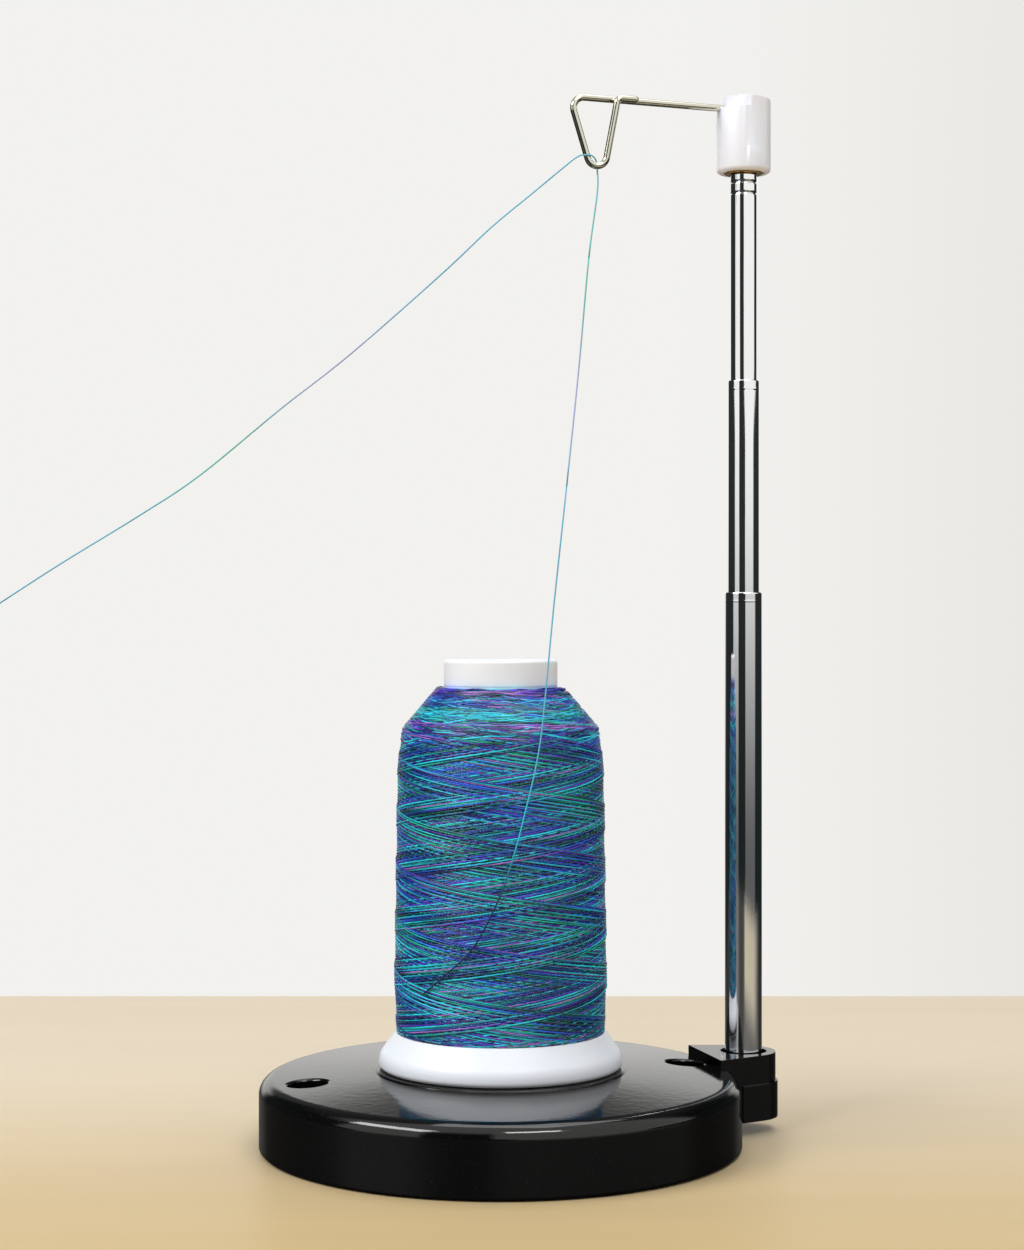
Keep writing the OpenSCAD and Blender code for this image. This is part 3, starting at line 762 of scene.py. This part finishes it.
    def shoulder(self, material, random):
        """Threads that turn back on the shoulder: each climbs, peaks at an angle p
        and a height h and falls again, z = h - fall (a - p)^2 / 2, and sinks under the
        others at both ends. A fast small wave lays them in and out of each other."""
        s = sizes()
        count, steps = s.neck_turns, 64
        low, high = self.SHOULDER - 0.5 * MM, self.TOP - 0.25 * MM
        peak = (low + (high - low) * ((np.arange(count) * GOLDEN) % 1) ** 0.9)[:, None]
        middle_angle = random.uniform(0, 2 * np.pi, (count, 1))
        a = np.linspace(-2.6, 2.6, steps)[None, :]
        sway = random.uniform(0, 2 * np.pi, (count, 2))
        fall = 1.5 * MM
        z = peak - fall * a ** 2 / 2
        z = z + (0.16 * np.sin(9 * a + sway[:, :1]) + 0.1 * np.sin(17 * a + sway[:, 1:])) * MM
        z = np.clip(z, self.LOW, high)
        sink = 0.7 * MM * np.clip((np.abs(a) - 2.1) / 0.5, 0, 1) ** 2
        weave = 0.16 * MM * np.sin(7 * a + sway[:, 1:])
        age = random.uniform(0, 1, (count, 1))
        r = self.radius_at(z) - s.strand_d / 2 - self.BUILD * (1 - age) * 0.8 - sink
        r = np.minimum(r + weave, self.radius_at(z) - s.strand_d / 2)
        angle = a + middle_angle
        path = np.stack([r * np.cos(angle), r * np.sin(angle), z], axis=-1)
        points, faces, along = self.strands(path, s.strand_d / 2)
        piece = add_piece("thread_shoulder", points, faces, material, "spool",
                          ("thread_package",))
        note_along(piece, along * 1.37)

    def strands(self, path, radius):
        """Tubes along many paths at once, as rings_along does for one. Gives their
        points, their faces and the length of thread at each point."""
        count, steps = path.shape[:2]
        sides = self.SIDES
        t = np.gradient(path, axis=1)
        t /= np.linalg.norm(t, axis=-1, keepdims=True)
        out = path * (1, 1, 0)
        u = out - np.sum(out * t, axis=-1, keepdims=True) * t
        u /= np.linalg.norm(u, axis=-1, keepdims=True)
        v = np.cross(t, u)
        b = np.linspace(0, 2 * np.pi, sides, endpoint=False)[None, None, :, None]
        rings = path[:, :, None] + radius * (np.cos(b) * u[:, :, None] + np.sin(b) * v[:, :, None])
        base = np.arange(count)[:, None] * steps * sides
        quads = grid_faces(steps, sides, False, True)[:, ::-1]
        faces = (quads + base[:, :, None]).reshape(-1, 4)
        cap = np.arange(sides)
        caps = np.vstack([base + cap[::-1], base + (steps - 1) * sides + cap])
        length = np.cumsum(np.linalg.norm(np.diff(path, axis=1, prepend=path[:, :1]), axis=-1),
                           axis=1)
        length += (np.arange(count) * GOLDEN % 1)[:, None] * sizes().dye_repeat
        return rings.reshape(-1, 3), faces.tolist() + caps.tolist(), np.repeat(
            length.ravel(), sides)


class THREAD_OT_spool(Operator):
    """Turns the white spool: rolled foot, neck, long bore and top hole"""
    bl_idname = "thread_stand.spool"
    bl_label = "Spool"

    def execute(self, context):
        low, high = span("spool_core")
        foot, z0, z1 = high[0] / MM, low[2] / MM, high[2] / MM
        bore, hub, top_hole, inside = 13, 14.8, 6.5, 12.5
        underside = [(bore, z0), (hub, z0), (hub, z0 + 3), (foot - 6, z0 + 3), (foot - 6, z0)]
        rolled = (arc((foot - 1.5, z0 + 1.5), 1.5, -90, 0, 8)
                  + arc((foot - 5, z0 + 1.8), 5, 1, 36, 10))
        barrel = [(foot - 4.4, z0 + 9.4), (hub, z0 + 9.4), (hub, 121), (hub + 0.2, 121.3)]
        neck = arc((14.2, z1 - 0.8), 0.8, 0, 90, 7)
        hollow = [(top_hole, z1), (top_hole, z1 - 3), (inside, z1 - 3), (inside, z0 + 5.4),
                  (bore, z0 + 5.4)]
        outline = soften(underside + rolled + barrel + neck + hollow, 0.22)
        points, faces = lathe(outline * MM, 192)
        white = white_plastic("spool_white", 0.32, (0.99, 1.02, 1.06))
        add_piece("spool_turned", points, faces, white, "spool", ("spool_core",))
        return {"FINISHED"}


class THREAD_OT_mast(Operator):
    """Draws the three mast tubes with their lips and crimps, and finishes the sleeves"""
    bl_idname = "thread_stand.mast"
    bl_label = "Mast"

    WALL = 0.5
    CRIMP_DROPS, CRIMP_DEPTH = (5.3, 2.3), 0.3

    def execute(self, context):
        chrome = plated("tube_chrome", colours().chrome, 0.02)
        lower, mid, top = (span(n) for n in ("lower_tube", "mid_tube", "top_tube"))
        half = [(high[1] - low[1]) / 2 / MM for low, high in (lower, mid, top)]
        for name, node, body, (low, high), r, inner in (
                ("lower_tube_drawn", "lower_tube", "stand", lower, half[0], half[1] + 0.05),
                ("mid_tube_drawn", "mid_tube", "mid", mid, half[1], half[2] + 0.05)):
            z0, z1 = low[2] / MM, high[2] / MM
            outline = [(r - 0.15, z0), (r, z0 + 0.15), (r, z1 - 2.6), (r + 0.02, z1 - 2.4),
                       (r, z1 - 2.2)] + arc((r - 0.35, z1 - 0.35), 0.35, 0, 90, 8)
            outline += [(inner + 0.08, z1), (inner, z1 - 0.1), (inner, z1 - 2.5),
                        (r - self.WALL, z1 - 2.9), (r - self.WALL, z0)]
            self.turned(name, outline, chrome, body, node)
        r = half[2]
        z0, z1 = top[0][2] / MM, top[1][2] / MM
        outline = [(r - self.WALL, z0), (r, z0)]
        for drop in self.CRIMP_DROPS:
            s = np.linspace(-1, 1, 13)
            outline += [(r - self.CRIMP_DEPTH / 2 * (1 + math.cos(math.pi * k)),
                         z1 - drop + 0.5 * k) for k in s]
        outline += [(r, z1 - 0.15), (r - 0.15, z1), (r - self.WALL, z1)]
        self.turned("top_tube_drawn", outline, chrome, "top", "top_tube")
        brass = plated("sleeve_brass", colours().brass, 0.25)
        repaint(brass, "mid_friction_sleeve", "top_friction_sleeve", "mast_plug")
        return {"FINISHED"}

    def turned(self, name, outline, material, body, node):
        """A tube turned to an outline (radius, height) in millimetres."""
        points, faces = lathe(np.array(outline) * MM, 96, (MAST_X, 0))
        piece = add_piece(name, points, faces, material, body, (node,))
        smooth_all(piece.data, 50)


class THREAD_OT_guide(Operator):
    """Bends the guide wire and moulds the swivel cap above its brass bush"""
    bl_idname = "thread_stand.guide"
    bl_label = "Thread guide"

    def execute(self, context):
        cap = white_plastic("cap_white", 0.2, (0.97, 0.99, 1.06))
        moulded_copy("guide_cap", cap, "guide", 0.28 * MM)
        repaint(plated("bush_brass", colours().brass, 0.12), "tip_bush")
        repaint(steel("pivot_steel", 0.55, 0.25), "cap_pivot")
        self.wire()
        return {"FINISHED"}

    def wire(self):
        """The wire's line in the arm's frame: out, down one leg, up the other,
        and back beside the arm, turned about the mast's axis."""
        arm_z, wire_d, reach, lean = 277.0, 1.8, 51.8, math.radians(13.7)
        drop, apex_r, corner_r, lap_r = 17.7, 2.7, 3.0, 1.5
        run_out, run_back, lap_y, lap_rise, lap_length = 8.5, 4.6, 1.85, 0.1, 5.1
        start, corner = 3.3, reach - wire_d / 2
        leg = drop + apex_r / math.sin(lean) - apex_r
        apex = corner - run_out
        lap = apex - run_back
        corners = [(start, 0, arm_z), (corner, 0, arm_z), (apex, 0, arm_z - leg),
                   (lap, lap_y, arm_z + lap_rise), (lap - lap_length, lap_y, arm_z + lap_rise)]
        route = rounded_route(corners, (corner_r, apex_r, lap_r))
        keep = np.concatenate([[True], np.diff(distance_along(route)) > 1e-4])
        path, radii = domed(route[keep], wire_d / 2)
        cos, sin = math.cos(ARM_TURN), math.sin(ARM_TURN)
        turn = np.array([(cos, sin, 0), (-sin, cos, 0), (0, 0, 1)])
        path = path @ turn * MM + (MAST_X, 0, 0)
        points, faces = tube(path, radii * MM, (-sin, cos, 0), 24)
        nickel = plated("wire_nickel", colours().nickel, 0.06, False)
        add_piece("guide_wire_bent", points, faces, nickel, "guide", ("guide_wire",))


class THREAD_OT_base(Operator):
    """Moulds the base, the mast bracket and its collar, and finishes what is inside"""
    bl_idname = "thread_stand.base"
    bl_label = "Base"

    # Millimetres: the wells, the deck and rim, and the screws into the bracket
    WELL_X, WELL_R, WALL_R, MOUTH_R = 51.8, 5.25, 6.85, 6.05
    LAND_R, LAND_EDGE, RIM_Z, RIM_ROUND, WALL = 32.5, 1, 18.5, 4, 2.5
    SCREW_R, SCREW_Y, SCREW_Z = 1.5, 5.6, 9.5

    def execute(self, context):
        gloss, satin = black_gloss(), black_satin()
        self.shell(gloss)
        moulded_copy("mast_bracket", gloss, "stand", sizes().edge * 1.8)
        moulded_copy("bracket_collar", gloss, "stand", 0.15 * MM)
        repaint(satin, "base_plate", "spindle")
        repaint(foam_rubber(), "base_pad")
        repaint(steel("weight_steel", 0.32, 0.4), "base_weight")
        repaint(steel("screw_steel", 0.6, 0.2), "deck_screws", "spindle_bolt",
                "spindle_washer", "bracket_screws", "mast_screw")
        return {"FINISHED"}

    def shell(self, material):
        """Shell as a lathe of its deck, rim and skirt, with the two wells and the
        screw holes. The flat land of the deck ends in a small round, below which
        the deck slopes to the rim by fall to the metre. The mouth of a well follows
        that slope."""
        low, high = span("base_shell")
        r, z0, deck = high[0] / MM, low[2] / MM, high[2] / MM
        rim = (r - self.RIM_ROUND, self.RIM_Z - self.RIM_ROUND)
        land_end = (self.LAND_R, deck - self.LAND_EDGE)
        slope_r, slope_z = arc(land_end, self.LAND_EDGE, 30, 30, 1)[0]
        fall = (slope_z - self.RIM_Z) / (rim[0] - slope_r)
        slope = math.degrees(math.atan(fall))
        outline = [(3, deck)] + arc(land_end, self.LAND_EDGE, 90, 30, 6)
        outline += arc(rim, self.RIM_ROUND, 90 - slope, 0, 16)
        outline += arc((r - 0.7, z0 + 0.7), 0.7, 0, -90, 6)
        outline += [(r - self.WALL, z0)] + arc(rim, self.RIM_ROUND - self.WALL, 0, 90 - slope, 6)
        outline += [(self.LAND_R, deck - self.WALL), (11, deck - self.WALL), (11, 15), (3, 15)]
        points, faces = lathe(np.array(outline[::-1]) * MM, 288)
        piece = add_piece("shell_moulded", points, faces, material, None)
        walls, holes = [], []
        mouth, mouth_round = slope_z - (self.WELL_X - slope_r) * fall, 0.8
        well = [(self.SCREW_R, 7), (self.SCREW_R, 10.2), (self.WELL_R, 10.2),
                (self.WELL_R, mouth - 0.5)]
        well += [(self.MOUTH_R - mouth_round * math.cos(t),
                  mouth - mouth_round + mouth_round * math.sin(t))
                 for t in np.radians(range(20, 91, 10))]
        well += [(self.MOUTH_R, mouth + 1)]
        for x in (-self.WELL_X, self.WELL_X):
            walls.append(self.pin([(self.WALL_R, 8), (self.WALL_R, 17.5)], (x, 0)))
            bore, faces = self.pin(well, (x, 0), 96)
            away = np.hypot(bore[:, 0], bore[:, 1]) - self.WELL_X * MM
            bore[:, 2] -= np.where(bore[:, 2] > (mouth - 1) * MM, away * fall, 0)
            holes.append((bore, faces))
        for y in (-self.SCREW_Y, self.SCREW_Y):
            hole, faces = self.pin([(self.SCREW_R, r - 4.5), (self.SCREW_R, r + 2)],
                                   (y, self.SCREW_Z))
            holes.append((hole[:, [2, 0, 1]], faces))
        combine(piece, "UNION", walls)
        combine(piece, "DIFFERENCE", holes)
        smooth_all(piece.data, 35)
        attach(piece, "stand")
        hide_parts("base_shell")

    def pin(self, outline, centre, steps=48):
        """Solid of revolution with flat ends, sizes in millimetres."""
        outline = [(0, outline[0][1])] + outline + [(0, outline[-1][1])]
        return lathe(np.array(outline) * MM, steps, (centre[0] * MM, centre[1] * MM))


class THREAD_OT_stage(Operator):
    """Sets the table, the backdrop, the light and the camera"""
    bl_idname = "thread_stand.stage"
    bl_label = "Stage"

    VIEW_TURN, VIEW_DIP = math.radians(16.3), math.radians(0.103)
    CAMERA = (0.003, -0.6328, 0.1383)
    FOCAL_PIXELS, PHOTO_HEIGHT, SENSOR = 2398, 1250, 36
    AIM = (0.0, 0.0, 0.12)

    def across(self, right, away, up=0.0):
        """A point given to the right of the base, away from the camera and up."""
        cos, sin = math.cos(self.VIEW_TURN), math.sin(self.VIEW_TURN)
        return (cos * right + sin * away, -sin * right + cos * away, up)

    def execute(self, context):
        scene = context.scene
        scene.view_settings.view_transform = "Standard"
        self.camera(scene)
        self.table()
        self.world(scene)
        self.lamp("key", (-1.0, -0.55, 1.1), (1.0, 0.35), 13.5, (0.99, 0.99, 1.0))
        self.lamp("fill", (0.35, -1.0, 1.25), (0.6, 0.2), 6.0, (1.0, 0.99, 0.97))
        self.lamp("top", (0.1, 0.25, 1.3), (0.8, 0.8), 5.5, (1.0, 1.0, 1.0))
        return {"FINISHED"}

    def camera(self, scene):
        """Camera at the photograph's place, angle and focal length."""
        data = bpy.data.cameras.new("camera")
        data.sensor_fit = "VERTICAL"
        data.sensor_height = self.SENSOR
        data.lens = self.FOCAL_PIXELS / self.PHOTO_HEIGHT * self.SENSOR
        data.clip_end = 20
        camera = bpy.data.objects.new("camera", data)
        camera.location = self.across(*self.CAMERA)
        camera.rotation_euler = (math.pi / 2 - self.VIEW_DIP, 0, -self.VIEW_TURN)
        scene.collection.objects.link(camera)
        scene.camera = camera

    def table(self):
        """Pale wooden table top with a rounded back edge, square to the view. Painted
        light and shade make the table darker and warmer in front and paler behind. Gloss
        sees it painted near-black, but for a painted patch of warmer reflection behind
        the mast, and doesn't see its far part."""
        f = Finish("table_top", Specular_IOR_Level=0.25)
        grain = f.noise(9, 5, 0.6)
        place = f.node("Mapping", {"vector_type": "TEXTURE"}, {
            "Vector": f.place(), "Rotation": (0, 0, -self.VIEW_TURN)})
        right, away, _ = f.parts(place)
        streak = f.noise(1, 4, 0.6, f.node("Mapping", inputs={
            "Vector": place, "Scale": (3, 40, 1)}))
        # Painted light and shade: the grain in front is a darker, warmer copy and the grain behind
        # a paler copy, as the light falls across the table.
        front = f.mix(streak, (0.52, 0.38, 0.185), (0.59, 0.445, 0.225))
        back = f.mix(streak, (0.66, 0.56, 0.41), (0.71, 0.605, 0.45))
        wood_and_painted_light = f.mix(away.between(-0.12, 0.13), front, back)
        # Painted reflection: glossy rays see the table painted near-black, with a painted patch of
        # warmer reflection behind the mast.
        mast_right = 0.066
        turn = (right - mast_right).math("ARCTAN2", away * -1) * DEGREES
        far = f.node("VectorMath", {"operation": "LENGTH"}, {0: f.place()}, output="Value")
        warm_painted_reflection = (turn.between(-4, 8) * (1 - turn.between(60, 100))
                * far.between(0.17, 0.30) * (1 - far.between(0.42, 0.62)))
        reflection = f.mix(warm_painted_reflection, (0.022, 0.020, 0.017), (0.40, 0.34, 0.23))
        mirrored = f.node("LightPath", output="Is Glossy Ray")
        f.set("Base Color", f.mix(mirrored, wood_and_painted_light, reflection))
        f.set("Alpha", 1 - mirrored * far.between(0.48, 0.62))
        f.set("Roughness", 0.42 + grain * 0.1)
        away = np.array([0.258, 0.257, 0.2545, 0.25, -1.4])
        up = np.array([-0.008, -0.003, -0.0008, 0.0, 0.0])
        right = np.linspace(-1.6, 1.6, 9)
        grid = np.array([[self.across(x, a, z) for x in right] for a, z in zip(away, up)])
        quads = grid_faces(len(away), len(right), False, False)
        floor = add_piece("table", grid.reshape(-1, 3), quads, f.material, None)

    def world(self, scene):
        """Off-white backdrop for the camera, with painted shade that makes it darker
        towards the right. Gloss sees a bright room that fades to dark below the horizon,
        with dark bands behind the camera, to the far left and to the far right, and a
        dark hall high above the backdrop. The bands' edges slant above the horizon."""
        world = bpy.data.worlds.new("room")
        world.use_nodes = True
        scene.world = world
        f = Nodes(world.node_tree)
        background = f.tree.nodes["Background"]
        x, y, z = f.parts(f.node("TexCoord", output="Generated"))
        cos, sin = math.cos(self.VIEW_TURN), math.sin(self.VIEW_TURN)
        right = x * cos - y * sin
        toward = (x * -sin) - y * cos
        turn = right.math("ARCTAN2", toward) * DEGREES
        slant = z.between(0.075, 0.105) * 10
        behind = turn.between(-39, -35) * (1 - (turn + slant).between(5, 9))
        left = turn.between(-155, -145) * (1 - (turn + slant).between(-74, -67))
        far_right = (turn - slant * 2.9).between(67, 76) * (1 - turn.between(145, 155))
        dark = behind.math("MAXIMUM", left).math("MAXIMUM", far_right)
        dark = dark * (1 - z.between(0.5, 0.8)) * 0.988
        hall = (toward * -1).between(0.05, 0.3) * z.between(0.22, 0.32) * 0.9
        room = (1.0 - dark) * (1 - hall) * (0.1 + z.between(-0.105, 0.087) * 0.9)
        gloss = f.node("LightPath", output="Is Glossy Ray")
        seen = f.node("LightPath", output="Is Camera Ray")
        shade = f.mix(room, (0.012, 0.016, 0.016), (1.0, 0.99, 0.96))
        soft = f.mix(gloss, (0.55, 0.55, 0.55), shade)
        # Painted shade: the backdrop turns darker towards the right.
        backdrop = f.mix(right.between(0.06, 0.26), (0.888, 0.880, 0.860), (0.80, 0.79, 0.76))
        f.feed(background.inputs["Color"], f.mix(seen, soft, backdrop))
        background.inputs["Strength"].default_value = 1.0

    def lamp(self, name, place, size, power, colour):
        """A soft box at a place, aimed at the middle of the stand."""
        data = bpy.data.lights.new(name, "AREA")
        data.shape = "RECTANGLE"
        data.size, data.size_y = size
        data.energy = power
        data.color = colour
        lamp = bpy.data.objects.new(name, data)
        lamp.location = self.across(*place)
        aim = Vector(self.AIM) - lamp.location
        lamp.rotation_euler = aim.to_track_quat("-Z", "Y").to_euler()
        bpy.context.scene.collection.objects.link(lamp)


OPERATORS = (THREAD_OT_stage, THREAD_OT_loose, THREAD_OT_base, THREAD_OT_mast,
             THREAD_OT_guide, THREAD_OT_spool, THREAD_OT_winding)


class THREAD_PT_panel(Panel):
    """Sidebar panel with the stand's sizes, colours and pieces"""
    bl_idname = "THREAD_PT_panel"
    bl_label = "Thread stand"
    bl_space_type = "VIEW_3D"
    bl_region_type = "UI"
    bl_category = "Thread Stand"

    def draw(self, context):
        for group in (sizes(), colours()):
            for name in group.__annotations__:
                self.layout.prop(group, name)
        for operator in OPERATORS:
            self.layout.operator(operator.bl_idname)


CLASSES = (ThreadStandSizes, ThreadStandColours, *OPERATORS, THREAD_PT_panel)


def register():
    for cls in CLASSES:
        bpy.utils.register_class(cls)
    bpy.types.Scene.thread_stand_sizes = PointerProperty(type=ThreadStandSizes)
    bpy.types.Scene.thread_stand_colours = PointerProperty(type=ThreadStandColours)


def unregister():
    del bpy.types.Scene.thread_stand_colours
    del bpy.types.Scene.thread_stand_sizes
    for cls in reversed(CLASSES):
        bpy.utils.unregister_class(cls)


def main():
    register()
    for operator in OPERATORS:
        group, name = operator.bl_idname.split(".")
        getattr(getattr(bpy.ops, group), name)()


if __name__ == "__main__":
    main()
